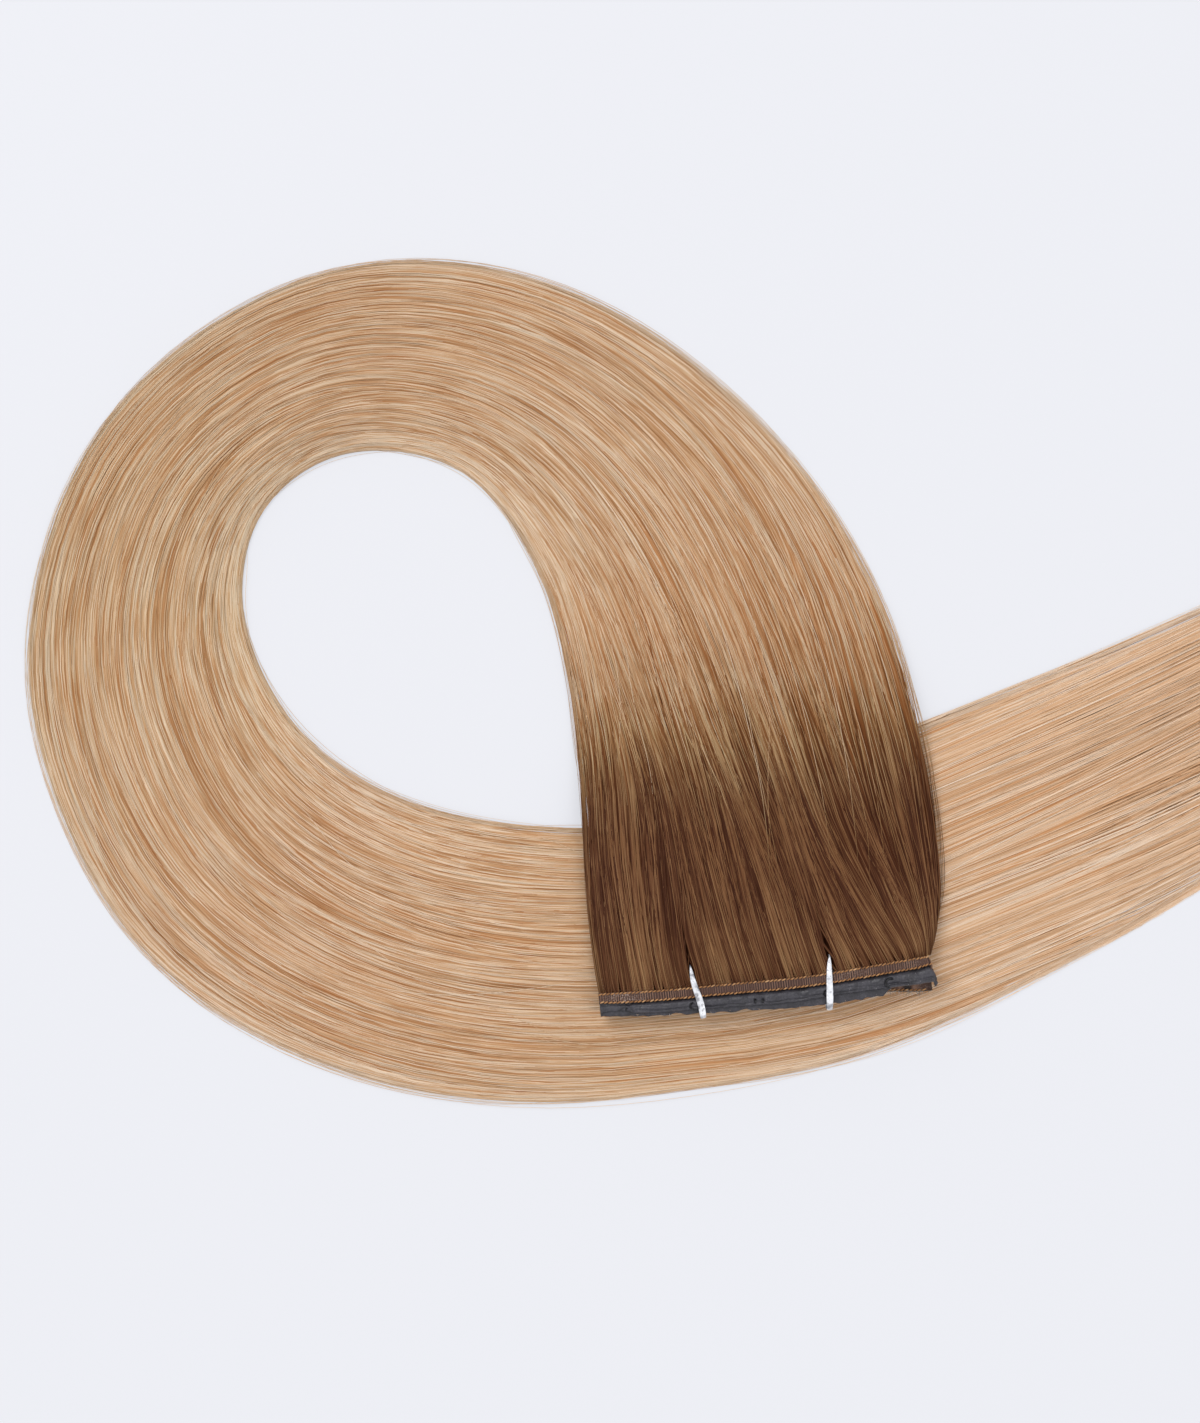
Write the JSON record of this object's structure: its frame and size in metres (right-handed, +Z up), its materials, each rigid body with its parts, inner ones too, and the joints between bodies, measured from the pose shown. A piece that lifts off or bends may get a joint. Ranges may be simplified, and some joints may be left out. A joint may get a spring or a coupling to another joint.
{
  "type": "hair weft bundle",
  "caption": "Folded hair weft held by foil ties, its long smooth hair shading from dark roots to blonde and lying in one open loop with a straight free tail.",
  "frame": {"origin": "middle of the bundle's outline in plan, at the surface that it lies on", "axes": "+X towards the hair's tips, +Y away from the weft's strip towards the top of the loop, +Z up"},
  "size_m": [0.3163, 0.1756, 0.0122],
  "materials": {
    "hair": "smooth straight hair, dark brown at the roots, blonde from there on",
    "seam": "sewn hair ends with golden brown thread",
    "strip": "satin dark grey",
    "foil": "crinkled white silver foil"
  },
  "bodies": {
    "root": {"hair_hank": "hair", "seam_band": "seam", "backing_strip": "strip", "tie_left": "foil", "tie_right": "foil"}
  },
  "joints": []
}
